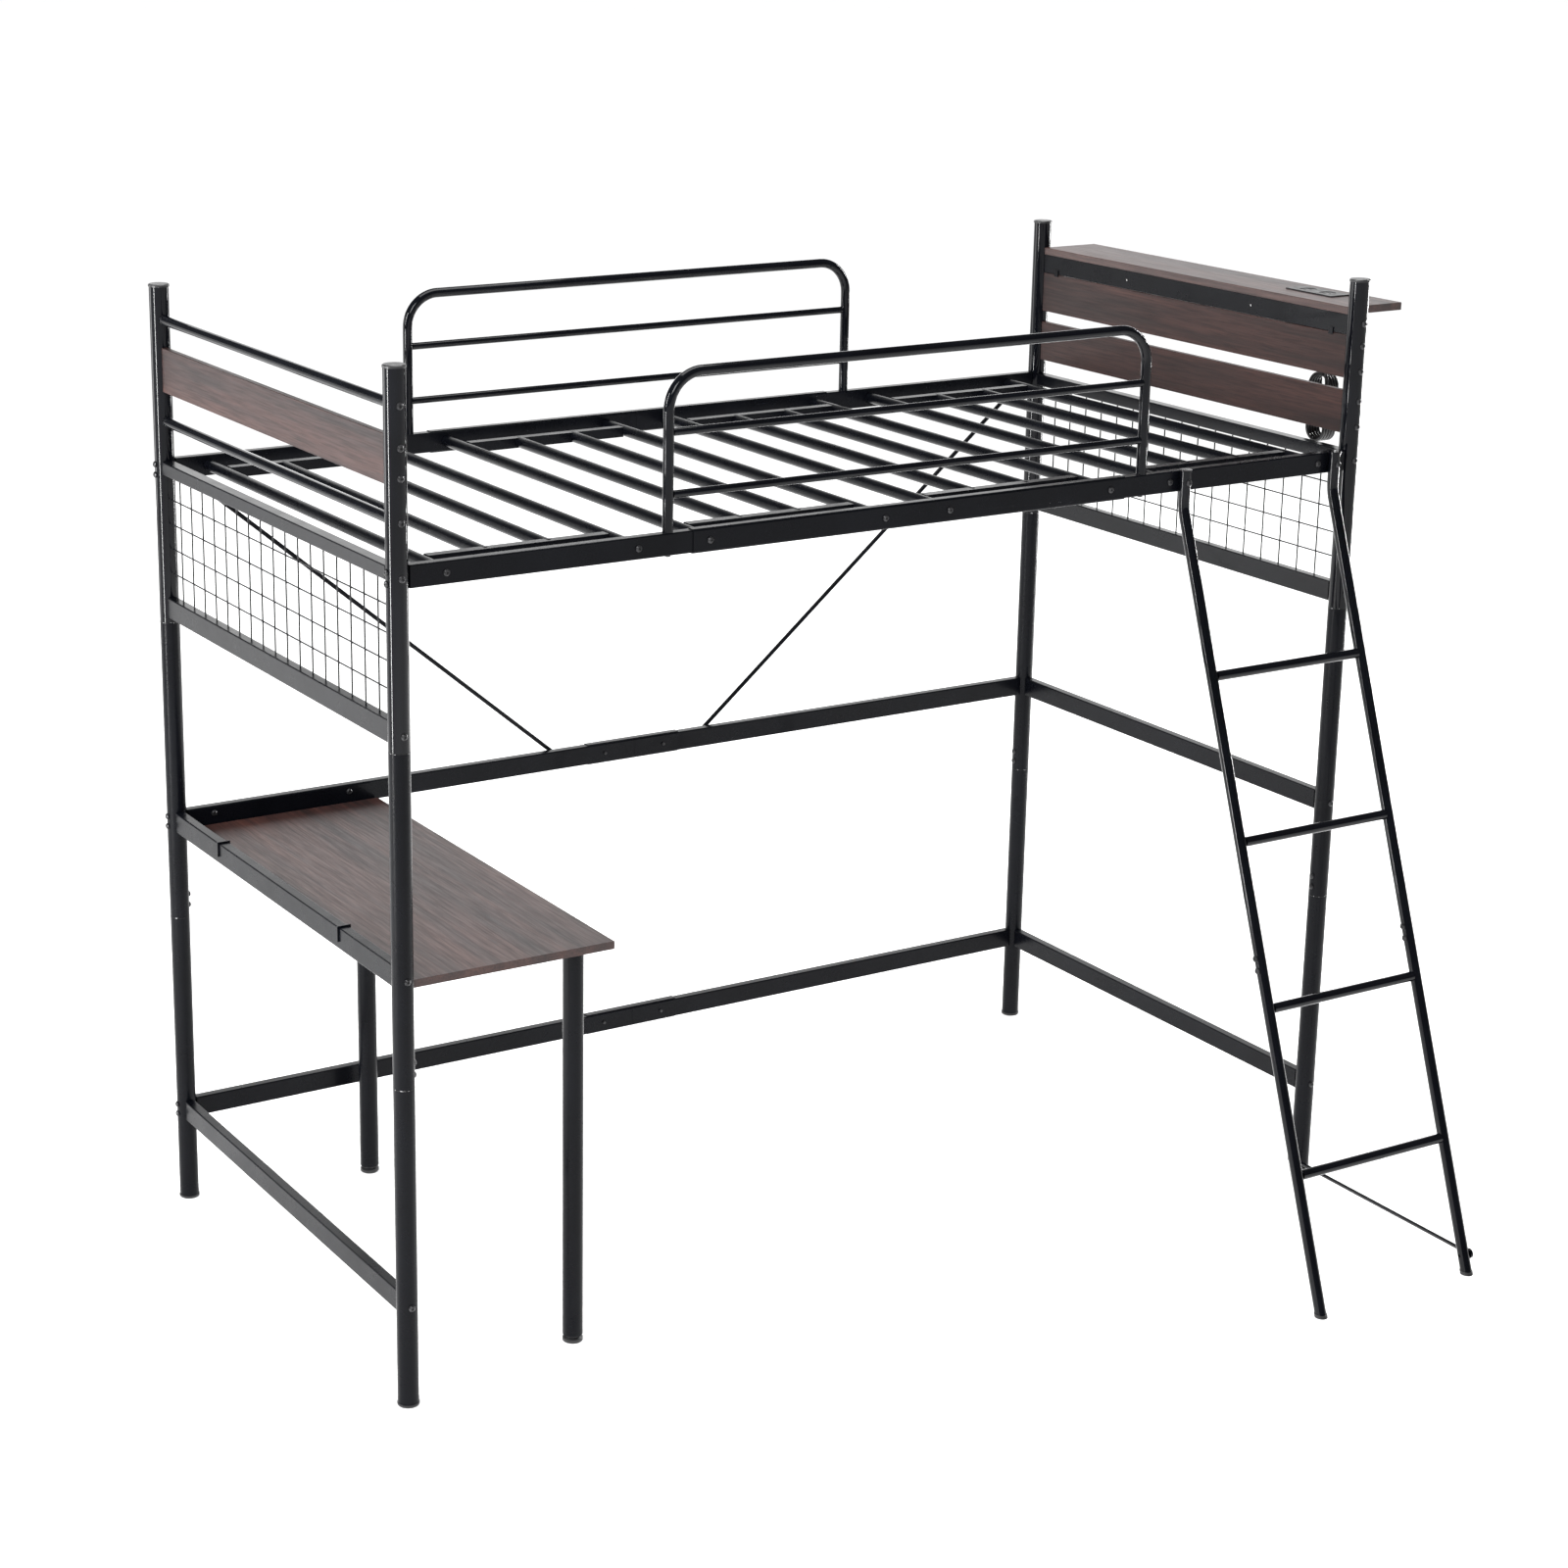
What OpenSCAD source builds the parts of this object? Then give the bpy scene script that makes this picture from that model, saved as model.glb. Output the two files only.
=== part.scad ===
// Loft bed with a desk under its foot end, a shelf with a power outlet at its
// head end, and a leaning ladder on its front side. +X runs from the foot end
// to the head end, +Y from the ladder side to the back, and +Z is up.

/* [Frame] */
// Distance between the post axes along the bed
bed_l = 2060; // [1800:10:2300]
// Distance between the post axes across the bed
bed_w = 1000; // [850:10:1250]
// Height of the posts, caps included
post_h = 1850; // [1820:5:2200]
// Outer diameter of the posts and the desk legs
post_d = 38; // [32:1:46]
// Wall of the posts and the desk legs
post_wall = 1.5; // [1.2:0.1:2]
// Height of the lower joint of the posts
joint_low_z = 600; // [560:5:640]
// Height of the upper joint of the posts
joint_high_z = 1200; // [1150:5:1200]
// Length of the spigot inside each post joint
spigot_l = 70; // [60:1:90]

/* [Rails] */
// Height of the long rails and the plain end rails
rail_h = 40; // [34:1:50]
// Thickness of the rails
rail_t = 20; // [18:1:24]
// Radius of the rails' outer corners
rail_round = 2.5; // [1.5:0.5:4]
// Wall of the rails
rail_wall = 1.5; // [1.2:0.1:2]
// Top of the rails that hold the bed base
bed_z = 1518; // [1450:1:1520]
// Top of the rails around the desk
mid_z = 818; // [760:1:840]
// Top of the rails near the floor
low_z = 212; // [150:1:300]
// Height and width of the square end rail above the mesh
mesh_rail_h = 25; // [22:1:30]
// Top of the rail under the mesh
mesh_z = 1250; // [1245:1:1260]
// Wire of the mesh
wire_d = 3; // [2.5:0.5:4]
// Wires up and down across the mesh
mesh_uprights = 17; // [8:1:24]
// Wires along the mesh
mesh_rows = 4; // [2:1:6]
// Half length of the channels that join the back rails
back_channel_half = 110; // [90:5:200]
// Sheet thickness of the channels
channel_t = 1.5; // [1:0.1:2.5]

/* [Bed base] */
// Diameter of the slat tubes
slat_d = 22; // [18:1:25]
// Distance from a post's axis to the first slat
panel_end_gap = 86; // [60:1:100]
// Distance between the last slat of a panel and the first of the next
panel_gap = 142; // [120:1:160]
// The same distance at the middle of the bed
panel_mid_gap = 140; // [120:1:160]
// Gap between a panel's side bar and the rail
side_bar_gap = 75; // [40:1:120]

/* [Guards] */
// Diameter of the guard hoops and of the two foot end tubes
guard_d = 19; // [16:1:22]
// Height of the guard hoop's axis
guard_z = 1793; // [1700:1:1820]
// Bend radius of the guard hoop's axis
guard_bend = 65; // [40:1:80]
// Diameter of the bars inside the guards
guard_bar_d = 14; // [12:1:16]
// Height of the upper guard bar's axis
guard_bar_high_z = 1691; // [1650:1:1710]
// Height of the lower guard bar's axis
guard_bar_low_z = 1583; // [1560:1:1620]

/* [Boards] */
// Thickness of the end boards
board_t = 12; // [11:0.5:18]
// Height of the end boards
board_h = 84; // [76:1:90]
// Centre height of the foot end board
foot_board_z = 1690; // [1686:1:1694]
// Height of the upper foot end tube's axis
foot_tube_high_z = 1784; // [1760:1:1800]
// Height of the lower foot end tube's axis
foot_tube_low_z = 1591; // [1570:1:1610]
// Centre height of the upper head end board
head_board_high_z = 1697; // [1690:1:1697]
// Centre height of the lower head end board
head_board_low_z = 1589; // [1580:1:1595]
// Radius of the long edges of boards and tops
board_round = 1.2; // [0.5:0.1:3]
// Top of the shelf
shelf_z = 1793; // [1793:1:1815]
// Depth of the shelf
shelf_depth = 136; // [110:1:200]
// Thickness of the shelf and the desk top
top_t = 15; // [12:1:18]

/* [Desk] */
// Depth of the desk top
desk_depth = 412; // [380:2:520]
// Height of the desk surface
desk_z = 784; // [740:1:790]
// Distance from the desk's free edge to its legs
leg_inset = 56; // [35:1:80]
// Distance from the desk's ends to its legs
leg_end_inset = 50; // [40:1:150]
// Diameter of the foot pads
pad_d = 38; // [30:1:45]
// Height of the foot pads
pad_h = 9; // [7:0.5:12]
// Bare thread between foot pad and leg
foot_gap = 5; // [4.5:0.5:10]
// Diameter of the foot's threaded stud
stud_d = 8; // [6:1:10]

/* [Ladder] */
// Diameter of the ladder legs
ladder_d = 22; // [19:1:25]
// Diameter of the rungs
rung_d = 19; // [16:1:21]
// Distance between the ladder legs
ladder_w = 370; // [300:5:420]
// Distance from the head end post's axis to the nearer ladder leg
ladder_side_gap = 55; // [50:1:150]
// Distance from the front posts' axes to the ladder's feet
ladder_reach = 540; // [450:1:600]
// Height of the bend at the top of the ladder legs
ladder_bend_z = 1445; // [1400:1:1450]
// Height of the lowest rung
rung_z = 250; // [220:1:280]
// Distance between the rungs, up and down
rung_pitch = 298; // [280:1:305]

/* [Power] */
// Length of the outlet's face
outlet_l = 132; // [110:1:150]
// Width of the outlet's face
outlet_w = 50; // [44:1:60]
// Depth of the outlet's housing under the shelf
outlet_depth = 38; // [30:1:50]
// Distance from the front post's axis to the middle of the outlet
outlet_post_gap = 197; // [120:1:400]
// Diameter of the power cord
cord_d = 7; // [7:1:7]

/* [Hidden] */
steel = "#1c1d20";
walnut = "#3b2825";
plastic = "#151517";
cord_black = "#101012";
bolt_black = "#27282b";

// Clearances shared by every pair of pieces that fit together
fit = 0.5;       // between the end of a rail or board and its post
slip = 0.3;      // around a spigot or stud, on the radius
hole_fit = 0.2;  // around a bolt, on the radius
turn_fit = 0.08; // around a levelling foot's stud, on the radius
seat_gap = 0.1;  // between a bracket or channel and what it lies against
plate_t = 3;     // end plates and plugs that take the bolts
fine = 48;
small = 24;

half_l = bed_l / 2;
half_w = bed_w / 2;
post_r = post_d / 2;
end_y = half_w - post_r - fit;
end_x = half_l - post_r - fit;
inner_x = half_l - rail_t / 2;
inner_y = half_w - rail_t / 2;

bolt_d = 6;
head_d = 12;
head_h = 3.5;
hex_d = 4.5;
bolt_reach = 16;
pair_gap = 20;
board_pair = 50;
cap_h = 5;
cap_d = post_d + 2;
cap_plug = 14;

bed_mid = bed_z - rail_h / 2;
mid_mid = mid_z - rail_h / 2;
low_mid = low_z - rail_h / 2;
mesh_mid = mesh_z - rail_h / 2;
joint_screws = [joint_low_z + 20, joint_low_z + 42];
apron_bolt_z = shelf_z - top_t - 13;

// Heights of the bolts that run across the bed through each kind of post
foot_bolts = [foot_tube_high_z, foot_board_z + board_pair / 2, foot_board_z - board_pair / 2,
    foot_tube_low_z, bed_mid, mesh_mid, mid_mid, low_mid];
head_bolts = [apron_bolt_z, head_board_high_z + board_pair / 2, head_board_high_z - board_pair / 2,
    head_board_low_z + board_pair / 2, head_board_low_z - board_pair / 2,
    bed_mid, mesh_mid, mid_mid, low_mid];
// Heights of the bolt pairs that run along the bed
front_pairs = [bed_mid];
back_pairs = [bed_mid, mid_mid, low_mid];

// Ladder: each leg drops along the rail, then leans out to the floor
ladder_top_y = -(half_w + rail_t / 2 + fit + ladder_d / 2);
ladder_foot_y = -(half_w + ladder_reach);
ladder_lean = atan((ladder_top_y - ladder_foot_y) / ladder_bend_z);
ladder_bend_r = 80;
bend_thin = 0.1;  // the bent stretch is drawn this much thinner on each face
bend_over = 2;    // and runs this far inside its straight neighbours
bend_reach = ladder_bend_r * tan(ladder_lean / 2);
lean_l = ladder_bend_z / cos(ladder_lean) - bend_reach;
ladder_joint_z = 600;
ladder_foot_h = 6;
ladder_foot_r = ladder_d / 2 + 1;
ladder_legs = [half_l - ladder_side_gap - ladder_w, half_l - ladder_side_gap];
ladder_stay_z = 34;
post_stay_z = 24;
ladder_screws = [ladder_joint_z + 18, ladder_joint_z + 40];
function ladder_y(z) = ladder_foot_y + z * tan(ladder_lean);
stay_from = [half_l - post_r - 3, -half_w, post_stay_z];
stay_to = [ladder_legs[1] + ladder_d / 2 + 3, ladder_y(ladder_stay_z), ladder_stay_z];

// Shelf and outlet
shelf_x0 = half_l - board_t / 2;
shelf_x1 = shelf_x0 + shelf_depth;
shelf_low = shelf_z - top_t;
apron_t = 2;
apron_low = head_board_high_z + board_h / 2 + 1;
outlet_x = shelf_x0 + 0.59 * shelf_depth;
outlet_y = outlet_post_gap - half_w;
outlet_body_w = outlet_w - 10;
outlet_body_l = outlet_l - 12;
outlet_lip = 2.5;
outlet_low = shelf_low - outlet_depth;

// Desk
desk_x0 = -inner_x + 4;
desk_x1 = desk_x0 + desk_depth;
desk_low = desk_z - top_t;
leg_x = desk_x1 - leg_inset;
leg_ys = [-(end_y - leg_end_inset), end_y - leg_end_inset];
leg_low = pad_h + foot_gap;
leg_plate_d = post_d + 14;
leg_plate_t = 2.5;
leg_plug = 12;
stud_low = 3;
stud_l = 40;
flange_h = 2.5;
flange_d = pad_d - 10;
cleat_t = 2;
cleat_ledge = leg_end_inset - leg_plate_d / 2 - 1;
cleat_round = 14;
cleat_x0 = post_r + 1 - half_l;
cleat_l = desk_x1 - 4 - cleat_x0;
cleat_bolt_xs = [desk_x0 + 60, desk_x1 - 60];
hook_t = 3;
hook_drop = 26;
hook_arm = 40;
hook_y = 267;

// Channels: their lips stop short of the rail's inner face
channel_short = 4;
channel_skin = channel_t + 2 * seat_gap;
connector_bolt_x = 71;
apron_screw_y = 197;

// Slats
slat_z = bed_mid;
slat_y = inner_y - fit;
side_bar_y = inner_y - side_bar_gap;
side_bar_t = 20;
panel_w = (half_l - panel_end_gap - panel_gap - panel_mid_gap / 2) / 2;
panel_inner_x = (panel_mid_gap + panel_w) / 2;
panel_outer_x = half_l - panel_end_gap - panel_w / 2;
panel_xs = [-panel_outer_x, -panel_inner_x, panel_inner_x, panel_outer_x];

// Each guard's legs stand over the gap between an inner and an outer panel
guard_x = half_l / 2;
bed_channel_half = guard_x - 45;

// Back braces on the rails' outer faces, from the top rail near a post down to the middle rail
brace_d = 9;
eye_d = 20;
eye_t = 4.8;
eye_gap = 0.3;
eye_start = 7;
brace_top = [end_x - 20, bed_mid - 10];
brace_low = [back_channel_half + 64, mid_mid + 4];
brace_y = half_w + rail_t / 2 + eye_gap;

// The part's origin is the middle of its footprint, on the floor
x_min = -(half_l + post_r + head_h);
y_max = half_w + post_r + head_h;
y_min = ladder_foot_y - ladder_foot_r / cos(ladder_lean);
origin_x = (shelf_x1 + x_min) / 2;
origin_y = (y_max + y_min) / 2;

// The cord, in the part's own frame: from the strain relief down to the top of its hank
relief_top = 9;
relief_low = 4.6;
lead_points = [[1042, -80, 1712], [1042, -80, 1698], [1041, -81, 1684], [1040, -83, 1668],
    [1039, -87, 1652], [1038, -91, 1636], [1038, -94, 1620]];
// The hank hangs in a plane across the bed
hank_x = 1052;
hank_y = -70;
hank_top = 1640;
hank_low = 1498;
hank_w = 56;
hank_t = 36;
tie_z = 1584;
// From the top of the hank over to the plug
tail_points = [[1066, -46, 1620], [1066, -46, 1640], [1066, -52, 1661], [1066, -67, 1676], [1066, -88, 1682],
    [1066, -108, 1676], [1066, -123, 1661], [1066, -129, 1640], [1066, -129, 1626], [1066, -129, 1612]];
plug_w = 22;
plug_l = 30;
plug_h = 30;
plug_relief = 24;
blade_l = 16;

module seat() translate([-origin_x, -origin_y, 0]) children();

// ---------- shared shapes ----------

module tube_z(d, wall, low, high) translate([0, 0, low]) difference() {
    cylinder(d = d, h = high - low, $fn = fine);
    translate([0, 0, -1]) cylinder(d = d - 2 * wall, h = high - low + 2, $fn = fine);
}

// A bolt with its head's underside on z = 0 and its shank below
module bolt(shank) difference() {
    union() {
        cylinder(d = head_d, h = head_h / 2, $fn = small);
        translate([0, 0, head_h / 2]) cylinder(d1 = head_d, d2 = head_d - 4, h = head_h / 2, $fn = small);
        translate([0, 0, -shank]) cylinder(d = bolt_d, h = shank + 1, $fn = small);
    }
    translate([0, 0, head_h - 2]) cylinder(d = hex_d, h = 3, $fn = 6);
}

module bolt_hole(length) cylinder(d = bolt_d + 2 * hole_fit, h = length, center = true, $fn = small);

// The point a given way from one point toward another
function toward(from, to, reach) = from + (to - from) * reach / norm(to - from);

// A straight round bar between two points
module rod(from, to, d) {
    span = to - from;
    reach = norm(span);
    turn = atan2(span[1], span[0]);
    dip = acos(span[2] / reach);
    translate(from) rotate([0, dip, turn]) cylinder(d = d, h = reach, $fn = small);
}

// A rectangle about the origin with round corners
module rounded(w, h, r) {
    square([w - 2 * r, h], center = true);
    square([w, h - 2 * r], center = true);
    for (sx = [-1, 1], sy = [-1, 1])
        translate([sx * (w / 2 - r), sy * (h / 2 - r)]) circle(r = r, $fn = small);
}
module rail_outline(w, h) difference() {
    rounded(w, h, rail_round);
    square([w - 2 * rail_wall, h - 2 * rail_wall], center = true);
}

// A rail along X, from start to stop, closed by an end plate with a pair of bolt holes
module long_rail(start, stop, z_mid, plate_at) {
    length = stop - start;
    difference() {
        union() {
            translate([start, 0, z_mid]) rotate([90, 0, 90])
                linear_extrude(length) rail_outline(rail_t, rail_h);
            translate([plate_at, -rail_t / 2 + rail_wall / 2, z_mid - rail_h / 2 + rail_wall / 2])
                cube([plate_t, rail_t - rail_wall, rail_h - rail_wall]);
        }
        for (dz = [-pair_gap / 2, pair_gap / 2])
            translate([plate_at + plate_t / 2, 0, z_mid + dz]) rotate([0, 90, 0]) bolt_hole(3 * plate_t);
    }
}

// A rail across the bed between two posts, with end plates and one bolt hole at each end
module end_rail(z_mid, h, w, bolt_z) difference() {
    union() {
        translate([0, -end_y, z_mid]) rotate([-90, 0, 0]) linear_extrude(2 * end_y) rail_outline(w, h);
        for (s = [-1, 1])
            translate([0, s * (end_y - plate_t / 2), z_mid])
                cube([w - rail_wall, plate_t, h - rail_wall], center = true);
    }
    for (s = [-1, 1])
        translate([0, s * end_y, bolt_z]) rotate([90, 0, 0]) bolt_hole(3 * plate_t);
}

// A round tube across the bed, plugged at both ends for its bolts
module end_tube(z) difference() {
    union() {
        translate([0, -end_y, z]) rotate([-90, 0, 0]) tube_z(guard_d, rail_wall, 0, 2 * end_y);
        for (s = [-1, 1])
            translate([0, s * (end_y - plate_t / 2), z]) rotate([90, 0, 0])
                cylinder(d = guard_d - rail_wall, h = plate_t, center = true, $fn = fine);
    }
    for (s = [-1, 1])
        translate([0, s * end_y, z]) rotate([90, 0, 0]) bolt_hole(3 * plate_t);
}

// An end board with two bolt holes in each end grain
module end_board(z) difference() {
    translate([0, -end_y, z]) rotate([-90, 0, 0])
        linear_extrude(2 * end_y) rounded(board_t, board_h, board_round);
    for (s = [-1, 1], dz = [-board_pair / 2, board_pair / 2])
        translate([0, s * end_y, z + dz]) rotate([90, 0, 0]) bolt_hole(2 * bolt_reach + 10);
}

// ---------- posts ----------

// Holes for the bolts that cross a post: across the bed, along the bed, and the joint screws
module post_holes(cross, pairs, inward) {
    for (z = cross) translate([0, 0, z]) rotate([90, 0, 0]) bolt_hole(post_d + 4);
    for (z = pairs, dz = [-pair_gap / 2, pair_gap / 2])
        translate([0, 0, z + dz]) rotate([0, 90, 0]) bolt_hole(post_d + 4);
    for (z = joint_screws) translate([inward * post_r / 2, 0, z]) rotate([0, 90, 0]) bolt_hole(post_r + 4);
}

// The four small notches that show where two lengths of post meet
module joint_notches(z) for (turn = [20:90:290])
    rotate([0, 0, turn]) translate([post_r, 0, z]) rotate([0, 90, 0])
        cylinder(d = 4, h = 2 * post_wall + 0.6, center = true, $fn = small);

module post_part(low, high, spigot, notch, cross, pairs, inward) difference() {
    union() {
        tube_z(post_d, post_wall, low, high);
        if (spigot > 0) {
            tube_z(post_d - 2 * post_wall - 2 * slip, post_wall, high - 20, high + spigot);
            tube_z(post_d - post_wall, post_wall / 2 + slip + 0.5, high - 20, high - 14);
        }
    }
    if (notch > 0) joint_notches(notch);
    post_holes(cross, pairs, inward);
}

module post_lower(sx, sy, cross, pairs) color(steel) seat() translate([sx * half_l, sy * half_w, 0])
    difference() {
        post_part(cap_h, joint_low_z, spigot_l, joint_low_z, cross, pairs, -sx);
        if (sx > 0 && sy < 0)
            translate([-post_r / 2, 0, post_stay_z]) rotate([0, 90, 0]) bolt_hole(post_r + 6);
    }
module post_middle(sx, sy, cross, pairs) color(steel) seat() translate([sx * half_l, sy * half_w, 0])
    post_part(joint_low_z, joint_high_z, spigot_l, joint_high_z, cross, pairs, -sx);
module post_upper(sx, sy, cross, pairs) color(steel) seat() translate([sx * half_l, sy * half_w, 0])
    post_part(joint_high_z, post_h - cap_h, 0, 0, cross, pairs, -sx);

module each_post() for (sx = [-1, 1], sy = [-1, 1]) translate([sx * half_l, sy * half_w, 0]) children();

module post_top_caps() color(plastic) seat() each_post() {
    translate([0, 0, post_h - cap_h]) cylinder(d = cap_d, h = cap_h - 1.5, $fn = fine);
    translate([0, 0, post_h - 1.5]) cylinder(d1 = cap_d, d2 = cap_d - 4, h = 1.5, $fn = fine);
    tube_z(post_d - 2 * post_wall - 2 * slip, 2.5, post_h - cap_h - cap_plug, post_h - cap_h + 0.5);
}

module post_foot_caps() color(plastic) seat() each_post() {
    cylinder(d1 = cap_d - 2, d2 = cap_d, h = 1.5, $fn = fine);
    translate([0, 0, 1.5]) cylinder(d = cap_d, h = cap_h - 1.5, $fn = fine);
    tube_z(post_d - 2 * post_wall - 2 * slip, 2.5, cap_h - 0.5, cap_h + 8);
}

// ---------- foot end and head end ----------

module foot_tubes() color(steel) seat() translate([-half_l, 0, 0]) {
    end_tube(foot_tube_high_z);
    end_tube(foot_tube_low_z);
}
module foot_board() color(walnut) seat() translate([-half_l, 0, 0]) end_board(foot_board_z);
module plain_end_rail(sx, z_mid) color(steel) seat() translate([sx * half_l, 0, 0])
    end_rail(z_mid, rail_h, rail_t, z_mid);
module foot_mid_rail() plain_end_rail(-1, mid_mid);
module foot_low_rail() plain_end_rail(-1, low_mid);
module head_board_upper() color(walnut) seat() translate([half_l, 0, 0]) end_board(head_board_high_z);
module head_board_lower() color(walnut) seat() translate([half_l, 0, 0]) end_board(head_board_low_z);
module head_mid_rail() plain_end_rail(1, mid_mid);
module head_low_rail() plain_end_rail(1, low_mid);

// A welded panel: square rail above, rail below, and crossed wires between them
module mesh_panel() {
    top = bed_z - mesh_rail_h - 3;
    span = top - mesh_z;
    sink = rail_wall / 2;
    end_rail(top + mesh_rail_h / 2, mesh_rail_h, mesh_rail_h, bed_mid);
    end_rail(mesh_mid, rail_h, rail_t, mesh_mid);
    for (i = [1:mesh_uprights])
        translate([0, -end_y + 2 * end_y * i / (mesh_uprights + 1), mesh_z - sink])
            cylinder(d = wire_d, h = span + 2 * sink, $fn = 16);
    for (i = [1:mesh_rows])
        translate([wire_d * 0.7, -end_y + 6, mesh_z + span * i / (mesh_rows + 1)])
            rotate([-90, 0, 0]) cylinder(d = wire_d, h = 2 * end_y - 12, $fn = 16);
}
module foot_mesh_panel() color(steel) seat() translate([-half_l, 0, 0]) mesh_panel();
module head_mesh_panel() color(steel) seat() translate([half_l, 0, 0]) mesh_panel();

// ---------- shelf and outlet ----------

module shelf_board() color(walnut) seat() difference() {
    translate([(shelf_x0 + shelf_x1) / 2, -end_y, shelf_z - top_t / 2]) rotate([-90, 0, 0])
        linear_extrude(2 * end_y) rounded(shelf_depth, top_t, board_round);
    translate([outlet_x - outlet_body_w / 2 - slip, outlet_y - outlet_body_l / 2 - slip, shelf_low - 1])
        cube([outlet_body_w + 2 * slip, outlet_body_l + 2 * slip, top_t + 2]);
}

// The angle that closes the front under the shelf, with the ledge that the shelf lies on
module shelf_apron() color(steel) seat() difference() {
    ledge = outlet_x - outlet_w / 2 - shelf_x0 - 4;
    union() {
        translate([shelf_x0, -end_y, apron_low]) cube([apron_t, 2 * end_y, shelf_low - apron_low]);
        translate([shelf_x0, -end_y, shelf_low - apron_t]) cube([ledge, 2 * end_y, apron_t]);
        for (s = [-1, 1]) translate([shelf_x0, s * end_y - (s > 0 ? plate_t : 0), apron_low])
            cube([ledge, plate_t, shelf_low - apron_low]);
        for (y = [-end_y + 45, end_y - 45]) translate([shelf_x0 - apron_t, y - 6, apron_low - 5])
            cube([apron_t, 12, 14]);
    }
    for (s = [-1, 1]) translate([half_l, s * end_y, apron_bolt_z]) rotate([90, 0, 0]) bolt_hole(3 * plate_t);
    for (s = [-1, 1]) translate([shelf_x0, s * apron_screw_y, shelf_low - 20]) rotate([0, 90, 0])
        cylinder(d = 5, h = 4 * apron_t, center = true, $fn = small);
}

module socket_slots() {
    for (s = [-1, 1]) translate([s * 6.3, 3, 0]) cube([2.2, 8, 20], center = true);
    translate([0, -7, 0]) cylinder(d = 5, h = 20, center = true, $fn = small);
}

module outlet_unit() color(plastic) seat() translate([outlet_x, outlet_y, 0]) difference() {
    union() {
        translate([-outlet_w / 2, -outlet_l / 2, shelf_z]) cube([outlet_w, outlet_l, outlet_lip]);
        translate([-outlet_body_w / 2, -outlet_body_l / 2, outlet_low])
            cube([outlet_body_w, outlet_body_l, shelf_z - outlet_low + 1]);
    }
    for (y = [-28, 28]) translate([0, y, shelf_z + outlet_lip]) {
        cylinder(d = 34, h = 2, center = true, $fn = fine);
        socket_slots();
    }
}

// ---------- long sides ----------

module rail_pair(side, z_mid) color(steel) seat() translate([0, side * half_w, 0]) {
    long_rail(-end_x, -fit / 2, z_mid, -end_x);
    long_rail(fit / 2, end_x, z_mid, end_x - plate_t);
}
module side_holes(side) {
    for (p = panel_xs, s = [-1, 1])
        translate([p + s * panel_w / 2, side * half_w, slat_z]) rotate([90, 0, 0]) bolt_hole(rail_t + 20);
    for (s = [-1, 1]) translate([s * guard_x, side * half_w, bed_mid]) bolt_hole(rail_h + 10);
}
module ladder_holes() for (x = ladder_legs)
    translate([x, -half_w, bed_mid]) rotate([90, 0, 0]) bolt_hole(2 * (ladder_d + rail_t));
module connector_holes(z_mid) for (s = [-1, 1])
    translate([s * connector_bolt_x, half_w, z_mid]) rotate([90, 0, 0]) bolt_hole(rail_t + 20);
module brace_holes() for (s = [-1, 1], p = [brace_top, brace_low])
    translate([s * p[0], half_w + rail_t / 2, p[1]]) rotate([90, 0, 0]) bolt_hole(12);

module front_bed_rails() color(steel) difference() {
    rail_pair(-1, bed_mid);
    seat() side_holes(-1);
    seat() ladder_holes();
}
module back_bed_rails() color(steel) difference() {
    rail_pair(1, bed_mid);
    seat() side_holes(1);
    seat() brace_holes();
}
module back_mid_rails() color(steel) difference() {
    rail_pair(1, mid_mid);
    seat() connector_holes(mid_mid);
    seat() brace_holes();
    seat() cleat_holes();
}
module back_low_rails() color(steel) difference() {
    rail_pair(1, low_mid);
    seat() connector_holes(low_mid);
}

// A channel laid over a rail's outer face, its lips short of the rail's inner face
module channel(side, half, z_mid) translate([-half, side * half_w, z_mid]) rotate([90, 0, 90])
    linear_extrude(2 * half) mirror([side > 0 ? 0 : 1, 0]) difference() {
        skin = 2 * (seat_gap + channel_t);
        rounded(rail_t + skin, rail_h + skin, rail_round + channel_t);
        rounded(rail_t + 2 * seat_gap, rail_h + 2 * seat_gap, rail_round);
        translate([-rail_t, 0]) square([rail_t + 2 * channel_short, 2 * rail_h], center = true);
    }
module bed_rail_channels() color(steel) seat() for (side = [-1, 1]) difference() {
    channel(side, bed_channel_half, bed_mid);
    side_holes(side);
}
module back_rail_channels() color(steel) seat() for (z = [mid_mid, low_mid]) difference() {
    channel(1, back_channel_half, z);
    connector_holes(z);
}

// ---------- slat panels ----------

// Four tubes: the outer two reach the rails, the inner two end at the side bars
module slat_panel(x) color(steel) seat() translate([x, 0, slat_z]) difference() {
    union() {
        for (s = [-1, 1]) translate([s * panel_w / 2, -slat_y, 0]) rotate([-90, 0, 0]) {
            tube_z(slat_d, rail_wall, 0, 2 * slat_y);
            cylinder(d = slat_d - rail_wall, h = plate_t, $fn = fine);
            translate([0, 0, 2 * slat_y - plate_t]) cylinder(d = slat_d - rail_wall, h = plate_t, $fn = fine);
        }
        for (s = [-1, 1]) translate([s * panel_w / 6, -side_bar_y, 0]) rotate([-90, 0, 0])
            tube_z(slat_d, rail_wall, 0, 2 * side_bar_y);
        for (s = [-1, 1]) side_bar(s);
    }
    for (sx = [-1, 1], sy = [-1, 1])
        translate([sx * panel_w / 2, sy * slat_y, 0]) rotate([90, 0, 0]) bolt_hole(4 * plate_t);
}
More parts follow.
